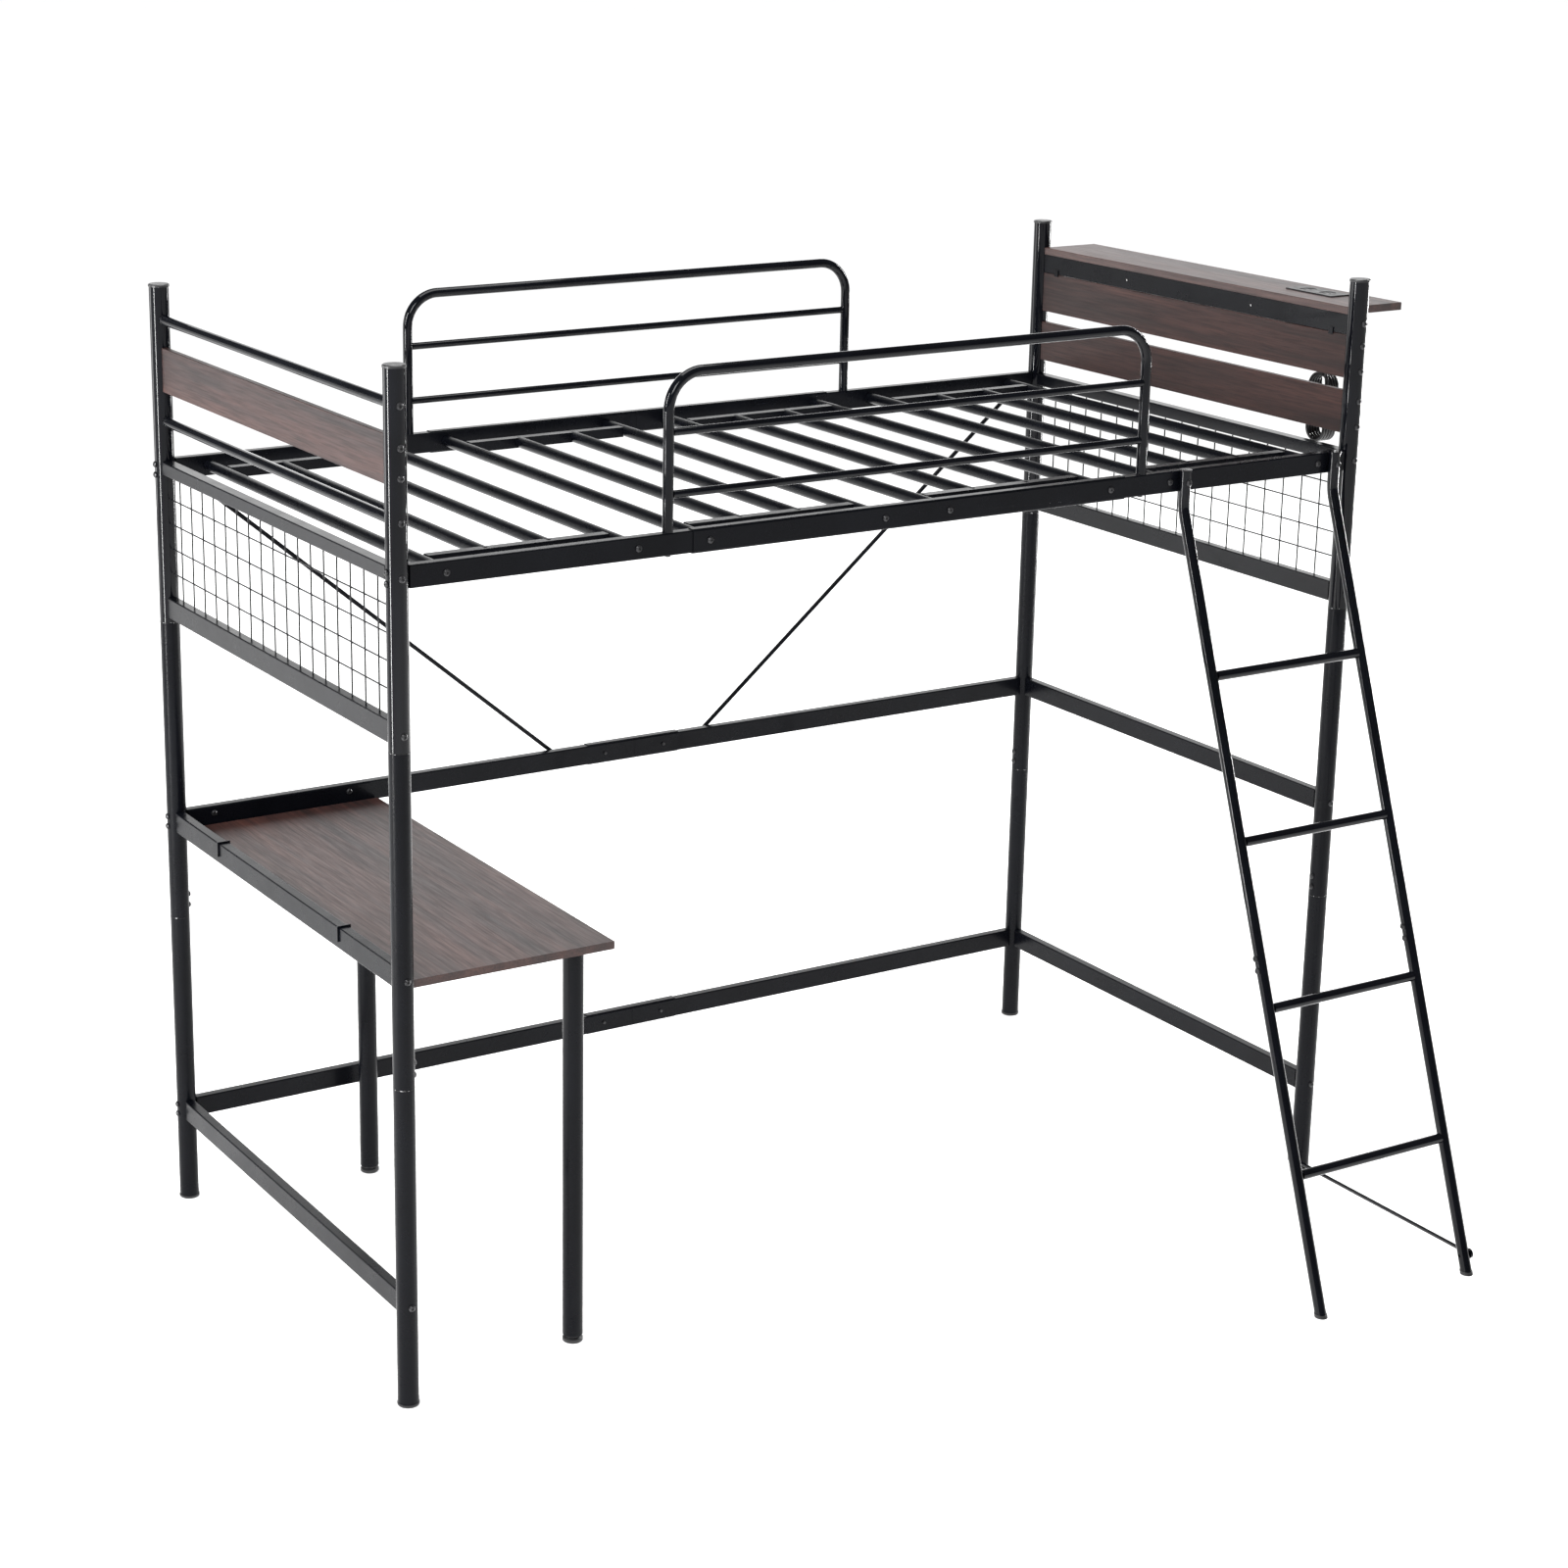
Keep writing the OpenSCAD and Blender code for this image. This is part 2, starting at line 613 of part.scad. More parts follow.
// A square bar between the outer tubes of a panel
module side_bar(s) {
    length = panel_w - slat_d + 2;
    difference() {
        translate([0, s * side_bar_y, 0]) cube([length, side_bar_t, side_bar_t], center = true);
        translate([0, s * side_bar_y, 0])
            cube([length + 1, side_bar_t - 2 * rail_wall, side_bar_t - 2 * rail_wall], center = true);
    }
}
module slat_panel_1() slat_panel(panel_xs[0]);
module slat_panel_2() slat_panel(panel_xs[1]);
module slat_panel_3() slat_panel(panel_xs[2]);
module slat_panel_4() slat_panel(panel_xs[3]);

// ---------- guards and braces ----------

// A hoop with two bars, standing on the rail
module guard(side) color(steel) seat() translate([0, side * half_w, 0]) {
    bend_z = guard_z - guard_bend;
    difference() {
        union() {
            for (s = [-1, 1]) {
                translate([s * guard_x, 0, 0]) tube_z(guard_d, rail_wall, bed_z, bend_z);
                translate([s * guard_x, 0, bed_z]) cylinder(d = guard_d - rail_wall, h = plate_t, $fn = fine);
                translate([s * (guard_x - guard_bend), 0, bend_z]) rotate([90, 0, s > 0 ? 0 : 180])
                    rotate_extrude(angle = 90, $fn = 96) translate([guard_bend, 0]) difference() {
                        circle(d = guard_d, $fn = fine);
                        circle(d = guard_d - 2 * rail_wall, $fn = fine);
                    }
            }
            translate([-guard_x + guard_bend, 0, guard_z]) rotate([0, 90, 0])
                tube_z(guard_d, rail_wall, 0, 2 * (guard_x - guard_bend));
            for (z = [guard_bar_high_z, guard_bar_low_z])
                translate([-guard_x + guard_d / 2 - 1, 0, z]) rotate([0, 90, 0])
                    tube_z(guard_bar_d, rail_wall, 0, 2 * guard_x - guard_d + 2);
        }
        for (s = [-1, 1]) translate([s * guard_x, 0, bed_z]) bolt_hole(3 * plate_t);
    }
}
module front_guard() guard(-1);
module back_guard() guard(1);

// A rod with a flattened, drilled eye at each end, against the rails' outer faces
module brace() {
    rod_y = half_w + rail_t / 2 + brace_d / 2 + 2 * seat_gap;
    top = [brace_top[0], rod_y, brace_top[1]];
    low = [brace_low[0], rod_y, brace_low[1]];
    difference() {
        union() {
            rod(toward(top, low, eye_start), toward(low, top, eye_start), brace_d);
            for (p = [brace_top, brace_low])
                translate([p[0], brace_y + eye_t / 2, p[1]]) rotate([90, 0, 0])
                    cylinder(d = eye_d, h = eye_t, center = true, $fn = fine);
        }
        for (p = [brace_top, brace_low]) translate([p[0], brace_y, p[1]]) rotate([90, 0, 0]) bolt_hole(30);
    }
}
module back_braces() color(steel) seat() {
    brace();
    mirror([1, 0, 0]) brace();
}

// ---------- desk ----------

module desk_top() color(walnut) seat()
    translate([(desk_x0 + desk_x1) / 2, -end_y, desk_z - top_t / 2]) rotate([-90, 0, 0])
        linear_extrude(2 * end_y) rounded(desk_depth, top_t, board_round);

module cleat_holes() for (x = cleat_bolt_xs)
    translate([x, inner_y, mid_mid + 6]) rotate([90, 0, 0]) bolt_hole(12);

// The angle on the middle rail that the desk top's back edge lies on, its free corner rounded
module desk_cleat() color(steel) seat() difference() {
    low = desk_low - cleat_t - seat_gap;
    high = mid_z - 3;
    union() {
        translate([cleat_x0, inner_y - seat_gap, 0]) rotate([90, 0, 0]) linear_extrude(cleat_t) {
            translate([0, low]) square([cleat_l - cleat_round, high - low]);
            translate([0, low]) square([cleat_l, high - low - cleat_round]);
            translate([cleat_l - cleat_round, high - cleat_round]) circle(r = cleat_round, $fn = fine);
        }
        translate([cleat_x0, end_y - cleat_ledge, low])
            cube([cleat_l, inner_y - seat_gap - end_y + cleat_ledge, cleat_t]);
    }
    cleat_holes();
}

// Over the rail, down its inner face, then out under the desk top
module hook_outline(side, over, under) polygon([
    [-side - hook_t, over - hook_drop], [-side - hook_t, over + hook_t], [side + hook_t, over + hook_t],
    [side + hook_t, under], [side + hook_arm, under], [side + hook_arm, under - hook_t],
    [side, under - hook_t], [side, over], [-side, over], [-side, over - hook_drop]]);

// Flat hooks over the foot end's middle rail that carry the desk top's other edge
module desk_hooks() color(steel) seat() for (y = [-hook_y, hook_y])
    translate([-half_l, y - hook_t / 2, 0]) rotate([90, 0, 0]) mirror([0, 0, 1]) linear_extrude(hook_t)
        hook_outline(rail_t / 2 + seat_gap, mid_z + seat_gap, desk_low - seat_gap);

// A desk leg: round plate under the desk, tube, and the plug that the stud screws into
module desk_leg(y) color(steel) seat() translate([leg_x, y, 0]) difference() {
    union() {
        tube_z(post_d, post_wall, leg_low, desk_low - leg_plate_t + 0.5);
        translate([0, 0, desk_low - leg_plate_t]) cylinder(d = leg_plate_d, h = leg_plate_t, $fn = fine);
        translate([0, 0, leg_low]) cylinder(d = post_d - post_wall, h = leg_plug, $fn = fine);
    }
    translate([0, 0, leg_low])
        cylinder(d = stud_d + 2 * turn_fit, h = 4 * leg_plug, center = true, $fn = fine);
    for (a = [45:90:315]) rotate([0, 0, a]) translate([post_r + 3.5, 0, desk_low])
        cylinder(d = 4, h = 4 * leg_plate_t, center = true, $fn = small);
}
module desk_leg_front() desk_leg(leg_ys[0]);
module desk_leg_back() desk_leg(leg_ys[1]);

// The stud: a thread with a flange that the pad turns on
module foot_stud(y) color(bolt_black) seat() translate([leg_x, y, 0]) {
    translate([0, 0, stud_low]) cylinder(d = stud_d, h = stud_l, $fn = small);
    translate([0, 0, pad_h + slip]) cylinder(d = flange_d, h = flange_h, $fn = fine);
}
module foot_stud_front() foot_stud(leg_ys[0]);
module foot_stud_back() foot_stud(leg_ys[1]);

// The pad: a chamfered disc, blind-bored from above for the stud
module foot_pad(y) color(plastic) seat() translate([leg_x, y, 0]) difference() {
    union() {
        cylinder(d1 = pad_d - 3, d2 = pad_d, h = 1.5, $fn = fine);
        translate([0, 0, 1.5]) cylinder(d = pad_d, h = pad_h - 4, $fn = fine);
        translate([0, 0, pad_h - 2.5]) cylinder(d1 = pad_d, d2 = pad_d - 7, h = 2.5, $fn = fine);
    }
    translate([0, 0, stud_low - slip]) cylinder(d = stud_d + 2 * turn_fit, h = pad_h, $fn = fine);
}
module foot_pad_front() foot_pad(leg_ys[0]);
module foot_pad_back() foot_pad(leg_ys[1]);

// ---------- ladder ----------

// A leg's leaning stretch between two heights, cut level, or square where the bend starts
module leaning(low, high, d, past = 0) intersection() {
    translate([0, ladder_foot_y, 0]) rotate([-ladder_lean, 0, 0])
        translate([0, 0, -2 * d]) cylinder(d = d, h = 2 * d + lean_l + bend_over + past, $fn = fine);
    translate([-d, ladder_foot_y - 2 * d, low]) cube([2 * d, ladder_reach + 4 * d, high - low]);
}
module leaning_tube(low, high) difference() {
    leaning(low, high, ladder_d);
    leaning(low - 1, high + 1, ladder_d - 2 * rail_wall, 1);
}
// The bend from the leaning stretch up to the upright one
module ladder_bend()
    translate([0, ladder_top_y - ladder_bend_r, ladder_bend_z + bend_reach]) rotate([-90, 0, 90])
        rotate_extrude(angle = ladder_lean, $fn = 96) translate([ladder_bend_r, 0]) difference() {
            circle(d = ladder_d - 2 * bend_thin, $fn = fine);
            circle(d = ladder_d - 2 * rail_wall + 2 * bend_thin, $fn = fine);
        }
// The screws that hold the two halves of a leg, on the side away from the head end
module ladder_screw_holes(x) for (z = ladder_screws)
    translate([x - ladder_d / 2, ladder_y(z), z]) rotate([0, 90, 0]) bolt_hole(ladder_d - 2);
module stay_hole(x) translate([x, ladder_y(ladder_stay_z), ladder_stay_z]) rotate([0, 90, 0])
    bolt_hole(2 * ladder_d);
module rung(z) translate([ladder_legs[0] + ladder_d / 2 - 1, ladder_y(z), z]) rotate([0, 90, 0])
    tube_z(rung_d, rail_wall, 0, ladder_w - ladder_d + 2);

module ladder_upper() color(steel) seat() difference() {
    union() {
        for (x = ladder_legs) translate([x, 0, 0]) {
            leaning_tube(ladder_joint_z, ladder_bend_z);
            ladder_bend();
            translate([0, ladder_top_y, 0])
                tube_z(ladder_d, rail_wall, ladder_bend_z + bend_reach - bend_over, bed_z + 2);
            translate([0, ladder_top_y, bed_z]) cylinder(d = ladder_d + 3, h = 4, $fn = fine);
        }
        for (i = [2, 3]) rung(rung_z + i * rung_pitch);
    }
    ladder_holes();
    for (x = ladder_legs) ladder_screw_holes(x);
}
module ladder_lower() color(steel) seat() difference() {
    union() {
        for (x = ladder_legs) translate([x, 0, 0]) {
            leaning_tube(ladder_foot_h, ladder_joint_z);
            difference() {
                leaning(ladder_joint_z - 20, ladder_joint_z + spigot_l, ladder_d - 2 * rail_wall - 2 * slip);
                leaning(ladder_joint_z - 21, ladder_joint_z + spigot_l + 1,
                    ladder_d - 4 * rail_wall - 2 * slip);
            }
            difference() {
                leaning(ladder_joint_z - 20, ladder_joint_z - 14, ladder_d - rail_wall);
                leaning(ladder_joint_z - 21, ladder_joint_z - 13, ladder_d - 4 * rail_wall);
            }
        }
        for (i = [0, 1]) rung(rung_z + i * rung_pitch);
    }
    for (x = ladder_legs) ladder_screw_holes(x);
    stay_hole(ladder_legs[1]);
}
module ladder_feet() color(plastic) seat() for (x = ladder_legs) translate([x, 0, 0]) {
    leaning(0, ladder_foot_h, 2 * ladder_foot_r);
    leaning(ladder_foot_h - 1, ladder_foot_h + 10, ladder_d - 2 * rail_wall - 2 * slip);
}

// The rod that ties the ladder's foot to the post, with a flattened eye at each end
module ladder_stay() color(steel) seat() difference() {
    union() {
        rod(toward(stay_from, stay_to, eye_start), toward(stay_to, stay_from, eye_start), brace_d - 1);
        for (p = [stay_from, stay_to]) translate(p) rotate([0, 90, 0])
            cylinder(d = eye_d, h = eye_t, center = true, $fn = fine);
    }
    for (p = [stay_from, stay_to]) translate(p) rotate([0, 90, 0]) bolt_hole(30);
}

// ---------- cord ----------

// A round tube swept along points, with rings square to the way
function ring(c, dir, r, n) =
    let (u = cross(dir, [1, 0, 0]), a = u / norm(u), b = cross(dir, a) / norm(dir))
    [for (k = [0:n - 1]) c + r * (cos(360 * k / n) * a + sin(360 * k / n) * b)];
function way(p, i) = let (l = len(p) - 1)
    i == 0 ? p[1] - p[0] : i == l ? p[l] - p[l - 1] : p[i + 1] - p[i - 1];
module swept(p, r, n) {
    rings = len(p);
    points = [for (i = [0:rings - 1]) each ring(p[i], way(p, i), r, n)];
    sides = [for (i = [0:rings - 2], k = [0:n - 1])
        [i * n + k, i * n + (k + 1) % n, (i + 1) * n + (k + 1) % n, (i + 1) * n + k]];
    start = [[for (k = [n - 1:-1:0]) k]];
    stop = [[for (k = [0:n - 1]) (rings - 1) * n + k]];
    polyhedron(points, concat(start, sides, stop));
}

module strain_relief() color(plastic) translate(lead_points[0])
    cylinder(r1 = relief_low, r2 = relief_top, h = outlet_low - lead_points[0][2], $fn = fine);
module power_cord() color(cord_black) {
    swept(lead_points, cord_d / 2, 10);
    swept(tail_points, cord_d / 2, 10);
}
// The hank hangs flat, its round ends up and down
module cord_hank() color(cord_black) translate([hank_x - hank_t / 2, hank_y, 0]) rotate([90, 0, 90])
    linear_extrude(hank_t) {
        for (z = [hank_low + hank_w / 2, hank_top - hank_w / 2])
            translate([0, z]) circle(d = hank_w, $fn = fine);
        translate([-hank_w / 2, hank_low + hank_w / 2]) square([hank_w, hank_top - hank_low - hank_w]);
    }
module cord_tie() color(plastic) translate([hank_x, hank_y, tie_z]) difference() {
    cube([hank_t + 4, hank_w + 4, 8], center = true);
    cube([hank_t + 0.4, hank_w + 0.4, 10], center = true);
}
// A moulded plug that hangs from its own strain relief, blades down
module power_plug() color(plastic) translate(tail_points[len(tail_points) - 1]) {
    translate([0, 0, -plug_relief]) cylinder(r1 = relief_top, r2 = relief_low, h = plug_relief, $fn = fine);
    translate([-plug_w / 2, -plug_l / 2, -plug_relief - plug_h]) cube([plug_w, plug_l, plug_h]);
    for (y = [-6.3, 6.3])
        translate([-3, y - 0.8, -plug_relief - plug_h - blade_l]) cube([6, 1.6, blade_l + 1]);
}

// ---------- fasteners ----------

// Bolts in the posts: across the bed, along the bed, and at the lower joints
module post_bolts() color(bolt_black) seat() {
    for (sx = [-1, 1], sy = [-1, 1]) translate([sx * half_l, sy * half_w, 0]) {
        for (z = sx < 0 ? foot_bolts : head_bolts)
            translate([0, sy * post_r, z]) rotate([-90 * sy, 0, 0]) bolt(post_d + bolt_reach);
        for (z = sy < 0 ? front_pairs : back_pairs, dz = [-pair_gap / 2, pair_gap / 2])
            translate([sx * post_r, 0, z + dz]) rotate([0, 90 * sx, 0]) bolt(post_d + bolt_reach);
        for (z = joint_screws) translate([-sx * post_r, 0, z]) rotate([0, -90 * sx, 0]) bolt(post_r / 2);
    }
    translate([stay_from[0] - eye_t / 2, stay_from[1], post_stay_z]) rotate([0, -90, 0]) bolt(post_r);
}

// Bolts in the rails, the braces, the cleat and the ladder
module rail_bolts() color(bolt_black) seat() {
    for (side = [-1, 1]) {
        for (p = panel_xs, s = [-1, 1])
            let (x = p + s * panel_w / 2, skin = abs(x) < bed_channel_half ? channel_skin : 0)
            translate([x, side * (half_w + rail_t / 2 + skin), slat_z]) rotate([-90 * side, 0, 0])
                bolt(rail_t + skin + bolt_reach / 2);
        for (s = [-1, 1]) translate([s * guard_x, side * half_w, bed_z - rail_h]) rotate([180, 0, 0])
            bolt(rail_h + bolt_reach / 2);
    }
    for (z = [mid_mid, low_mid], s = [-1, 1])
        translate([s * connector_bolt_x, half_w + rail_t / 2 + channel_skin, z]) rotate([-90, 0, 0])
            bolt(rail_t + channel_skin + 4);
    for (s = [-1, 1], p = [brace_top, brace_low])
        translate([s * p[0], brace_y + eye_t, p[1]]) rotate([-90, 0, 0]) bolt(10);
    for (x = cleat_bolt_xs)
        translate([x, inner_y - cleat_t - seat_gap, mid_mid + 6]) rotate([90, 0, 0]) bolt(cleat_t + 6);
    for (x = ladder_legs) {
        translate([x, ladder_top_y - ladder_d / 2, bed_mid]) rotate([90, 0, 0]) bolt(ladder_d + 10);
        for (z = ladder_screws) translate([x - ladder_d / 2, ladder_y(z), z]) rotate([0, -90, 0])
            bolt(ladder_d / 2 - 3);
    }
    translate([stay_to[0] + eye_t / 2, stay_to[1], ladder_stay_z]) rotate([0, 90, 0]) bolt(ladder_d + 2);
}

post_lower(-1, -1, foot_bolts, front_pairs);  // post_fl_lower
post_middle(-1, -1, foot_bolts, front_pairs);  // post_fl_middle
post_upper(-1, -1, foot_bolts, front_pairs);  // post_fl_upper
post_lower(-1, 1, foot_bolts, back_pairs);  // post_bl_lower
post_middle(-1, 1, foot_bolts, back_pairs);  // post_bl_middle
post_upper(-1, 1, foot_bolts, back_pairs);  // post_bl_upper
post_lower(1, -1, head_bolts, front_pairs);  // post_fr_lower
post_middle(1, -1, head_bolts, front_pairs);  // post_fr_middle
post_upper(1, -1, head_bolts, front_pairs);  // post_fr_upper
post_lower(1, 1, head_bolts, back_pairs);  // post_br_lower
post_middle(1, 1, head_bolts, back_pairs);  // post_br_middle
post_upper(1, 1, head_bolts, back_pairs);  // post_br_upper
post_top_caps();
post_foot_caps();
foot_tubes();
foot_board();
foot_mesh_panel();
foot_mid_rail();
foot_low_rail();
shelf_board();
shelf_apron();
head_board_upper();
head_board_lower();
head_mesh_panel();
head_mid_rail();
head_low_rail();
front_bed_rails();
back_bed_rails();
back_mid_rails();
back_low_rails();
bed_rail_channels();
back_rail_channels();
slat_panel_1();
slat_panel_2();
slat_panel_3();
slat_panel_4();
front_guard();
back_guard();
back_braces();
desk_top();
desk_cleat();
desk_hooks();
desk_leg_front();
desk_leg_back();
foot_stud_front();
foot_pad_front();
foot_stud_back();
foot_pad_back();
ladder_upper();
ladder_lower();
ladder_feet();
ladder_stay();
outlet_unit();
strain_relief();
power_cord();
cord_hank();
cord_tie();
power_plug();
post_bolts();
rail_bolts();
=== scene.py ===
"""Looks of the loft bed with desk: camera, materials, post joint seams, cord, floor and light."""
import math

import bmesh
import bpy
from mathutils import Matrix, Vector


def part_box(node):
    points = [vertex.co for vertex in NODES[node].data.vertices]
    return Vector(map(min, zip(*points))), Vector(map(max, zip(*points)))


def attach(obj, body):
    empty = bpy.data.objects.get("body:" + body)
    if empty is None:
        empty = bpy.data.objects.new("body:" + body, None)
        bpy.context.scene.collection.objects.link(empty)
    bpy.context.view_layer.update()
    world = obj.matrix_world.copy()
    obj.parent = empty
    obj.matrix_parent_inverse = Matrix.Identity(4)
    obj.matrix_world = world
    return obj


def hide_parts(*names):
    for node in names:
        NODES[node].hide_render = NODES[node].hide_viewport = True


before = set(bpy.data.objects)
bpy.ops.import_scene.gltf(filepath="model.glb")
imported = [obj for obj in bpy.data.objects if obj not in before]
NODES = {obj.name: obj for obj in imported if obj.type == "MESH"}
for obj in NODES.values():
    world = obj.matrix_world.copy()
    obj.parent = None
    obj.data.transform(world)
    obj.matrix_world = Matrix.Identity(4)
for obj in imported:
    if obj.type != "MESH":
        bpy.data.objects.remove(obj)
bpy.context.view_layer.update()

SCENE = bpy.context.scene

# ---------- camera ----------

# Degrees for the angles, metres for the place and the clip ends, millimetres for the sensor and lens
CAMERA_AZIMUTH = 30.328
CAMERA_ELEVATION = -15.793
CAMERA_ROLL = 0.416
CAMERA_PLACE = (-3.28585, -4.77838, 2.7138)
CAMERA_SENSOR = 36.0
CAMERA_LENS = 72.653
CAMERA_SHIFT_X = 0.094
CAMERA_SHIFT_Y = -0.0528
CAMERA_NEAR = 0.1
CAMERA_FAR = 400.0


def make_camera():
    """A camera at the photograph's angle, turned from +Y towards +X by its azimuth."""
    azimuth = math.radians(CAMERA_AZIMUTH)
    elevation = math.radians(CAMERA_ELEVATION)
    roll = math.radians(CAMERA_ROLL)
    forward = Vector((math.sin(azimuth) * math.cos(elevation),
                      math.cos(azimuth) * math.cos(elevation), math.sin(elevation)))
    right = Vector((math.cos(azimuth), -math.sin(azimuth), 0.0))
    up = right.cross(forward)
    side = right * math.cos(roll) + up * math.sin(roll)
    top = up * math.cos(roll) - right * math.sin(roll)
    data = bpy.data.cameras.new("camera")
    data.sensor_width = CAMERA_SENSOR
    data.lens = CAMERA_LENS
    data.shift_x = CAMERA_SHIFT_X
    data.shift_y = CAMERA_SHIFT_Y
    data.clip_start = CAMERA_NEAR
    data.clip_end = CAMERA_FAR
    camera = bpy.data.objects.new("camera", data)
    SCENE.collection.objects.link(camera)
    turn = Matrix((side, top, -forward)).transposed()
    camera.matrix_world = Matrix.Translation(CAMERA_PLACE) @ turn.to_4x4()
    SCENE.camera = camera


make_camera()

# ---------- node materials ----------

COAT_DEEP = (0.0013, 0.0015, 0.0024)
COAT_PALE = (0.0027, 0.0031, 0.0046)
COAT_DUST = (0.007, 0.007, 0.008)
COAT_FILM_ROUGH = 0.045
WALNUT_DARK = (0.0125, 0.0050, 0.0046)
WALNUT_MIDDLE = (0.036, 0.0132, 0.0108)
WALNUT_WARM = (0.064, 0.0240, 0.0175)
# The noise's scale along Y against across it, so the grain's marks are about 22 times as long as wide
GRAIN_SQUEEZE = 0.045
OXIDE_DARK = (0.012, 0.012, 0.013)
OXIDE_PALE = (0.045, 0.045, 0.048)


def dimmed(colour, factor):
    return tuple(c * factor for c in colour)


class Shader:
    """A small helper around one material's node tree."""

    def __init__(self, name):
        self.mat = bpy.data.materials.new(name)
        self.mat.use_nodes = True
        self.tree = self.mat.node_tree
        self.bsdf = self.tree.nodes["Principled BSDF"]
        self.place = self.node("ShaderNodeTexCoord").outputs["Object"]

    def node(self, kind, **props):
        made = self.tree.nodes.new(kind)
        for key, value in props.items():
            setattr(made, key, value)
        return made

    def link(self, out, into):
        self.tree.links.new(out, into)

    def feed(self, socket, value):
        """Set the socket to a number or a colour, or link another node's output to it."""
        if isinstance(value, (int, float)):
            socket.default_value = value
        elif isinstance(value, tuple):
            socket.default_value = (*value, 1.0)
        else:
            self.link(value, socket)

    def noise(self, scale, detail=3.0, rough=0.55, vector=None, distortion=0.0):
        made = self.node("ShaderNodeTexNoise")
        made.inputs["Scale"].default_value = scale
        made.inputs["Detail"].default_value = detail
        made.inputs["Roughness"].default_value = rough
        made.inputs["Distortion"].default_value = distortion
        self.link(self.place if vector is None else vector, made.inputs["Vector"])
        return made.outputs["Fac"]

    def spread(self, value, low, high, to_low, to_high):
        made = self.node("ShaderNodeMapRange")
        for key, number in zip(("From Min", "From Max", "To Min", "To Max"), (low, high, to_low, to_high)):
            made.inputs[key].default_value = number
        self.link(value, made.inputs["Value"])
        return made.outputs["Result"]

    def maths(self, what, a, b):
        made = self.node("ShaderNodeMath", operation=what)
        self.feed(made.inputs[0], a)
        self.feed(made.inputs[1], b)
        return made.outputs[0]

    def ramp(self, value, stops):
        made = self.node("ShaderNodeValToRGB")
        ends = made.color_ramp.elements
        while len(ends) < len(stops):
            ends.new(0.5)
        for end, (place, colour) in zip(ends, stops):
            end.position = place
            end.color = (*colour, 1.0)
        self.link(value, made.inputs["Fac"])
        return made.outputs["Color"]

    def mix(self, factor, a, b):
        """Two colours mixed; the node's sockets 0, 6 and 7 are the factor and the colours."""
        made = self.node("ShaderNodeMix", data_type="RGBA")
        self.feed(made.inputs[0], factor)
        self.feed(made.inputs[6], a)
        self.feed(made.inputs[7], b)
        return made.outputs[2]

    def bump(self, height, strength, distance, before=None):
        made = self.node("ShaderNodeBump")
        made.inputs["Strength"].default_value = strength
        made.inputs["Distance"].default_value = distance
        self.link(height, made.inputs["Height"])
        if before is not None:
            self.link(before, made.inputs["Normal"])
        return made.outputs["Normal"]

    def set(self, **values):
        for key, value in values.items():
            self.feed(self.bsdf.inputs[key.replace("_", " ")], value)
        return self.mat


def steel_coat(name, rough_low, rough_high, shine, coat):
    """Black powder coat: fine orange peel, faint cloudiness, pale specks and an uneven gloss."""
    look = Shader(name)
    cloud = look.noise(scale=7.0)
    speck = look.noise(scale=900.0, detail=2.0)
    peel = look.noise(scale=420.0, detail=2.0, rough=0.5)
    colour = look.ramp(cloud, [(0.3, COAT_DEEP), (0.7, COAT_PALE)])
    colour = look.mix(look.spread(speck, 0.62, 0.78, 0.0, 0.5), colour, COAT_DUST)
    rough = look.spread(look.noise(scale=16.0, detail=4.0), 0.3, 0.7, rough_low, rough_high)
    normal = look.bump(peel, strength=0.10, distance=0.00025)
    waves = look.noise(scale=60.0, detail=2.0)
    normal = look.bump(waves, strength=0.05, distance=0.0006, before=normal)
    return look.set(Base_Color=colour, Roughness=rough, Normal=normal, Specular_IOR_Level=shine,
                    Coat_Weight=coat, Coat_Roughness=COAT_FILM_ROUGH)


def walnut(name, seed, light, sheen):
    """Printed walnut laminate with straight grain along Y; the seed picks another stretch of it."""
    look = Shader(name)
    shifted = look.node("ShaderNodeMapping")
    shifted.inputs["Scale"].default_value = (1.0, GRAIN_SQUEEZE, 1.0)
    shifted.inputs["Location"].default_value = (seed * 1.37, seed * 0.71, seed * 2.13)
    look.link(look.place, shifted.inputs["Vector"])
    vector = shifted.outputs["Vector"]
    broad = look.noise(scale=9.0, rough=0.5, vector=vector, distortion=0.6)
    bands = look.noise(scale=34.0, detail=4.0, rough=0.6, vector=vector, distortion=0.4)
    fibre = look.noise(scale=240.0, rough=0.6, vector=vector)
    pores = look.noise(scale=520.0, detail=2.0, rough=0.5, vector=vector)
    dark, middle, warm = (dimmed(colour, light) for colour in (WALNUT_DARK, WALNUT_MIDDLE, WALNUT_WARM))
    mixed = look.maths("ADD", look.maths("MULTIPLY", broad, 0.45), look.maths("MULTIPLY", bands, 0.55))
    colour = look.ramp(mixed, [(0.36, dark), (0.5, middle), (0.66, warm)])
    colour = look.mix(look.spread(fibre, 0.40, 0.68, 0.0, 0.55), colour, dimmed(dark, 0.55))
    colour = look.mix(look.spread(pores, 0.60, 0.72, 0.0, 0.7), colour, dimmed(dark, 0.35))
    height = look.maths("ADD", look.maths("MULTIPLY", fibre, 0.7), look.maths("MULTIPLY", pores, 0.5))
    rough = look.spread(fibre, 0.3, 0.7, 0.40, 0.52)
    return look.set(Base_Color=colour, Roughness=rough, Specular_IOR_Level=sheen,
                    Normal=look.bump(height, strength=0.16, distance=0.0004))


